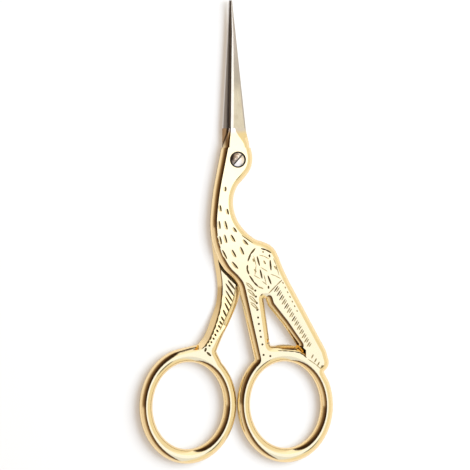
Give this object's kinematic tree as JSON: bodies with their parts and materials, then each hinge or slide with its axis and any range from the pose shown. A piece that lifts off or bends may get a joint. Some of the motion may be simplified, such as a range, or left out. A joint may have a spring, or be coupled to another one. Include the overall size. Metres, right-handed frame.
{
  "type": "embroidery scissors",
  "caption": "Small fine-pointed embroidery scissors shaped like a standing stork, gold handles with finger rings and slim ground steel blades on a slotted pivot screw.",
  "frame": {"origin": "on the pivot axis, at the flat outer face of the back half, which is the surface that the closed scissors lie on", "axes": "+Y from the pivot to the blade tips, +Z along the pivot screw towards its slotted head, +X towards the front half's finger ring"},
  "size_m": [0.049, 0.115, 0.0037],
  "materials": {
    "gold_plate": "polished gold plating over steel, engraved",
    "blade_steel": "ground and satin polished nickel-bright steel",
    "screw_steel": "bright nickel-plated steel, fine turned face"
  },
  "bodies": {
    "back_half": {"back_blade": "blade_steel", "back_handle": "gold_plate", "pivot_screw": "screw_steel"},
    "front_half": {"front_blade": "blade_steel", "front_handle": "gold_plate"}
  },
  "joints": [
    {"name": "pivot", "type": "hinge", "parent": "back_half", "child": "front_half", "pos_m": [0, 0, 0], "axis": [0, 0, 1], "range_deg": [0, 90]}
  ]
}
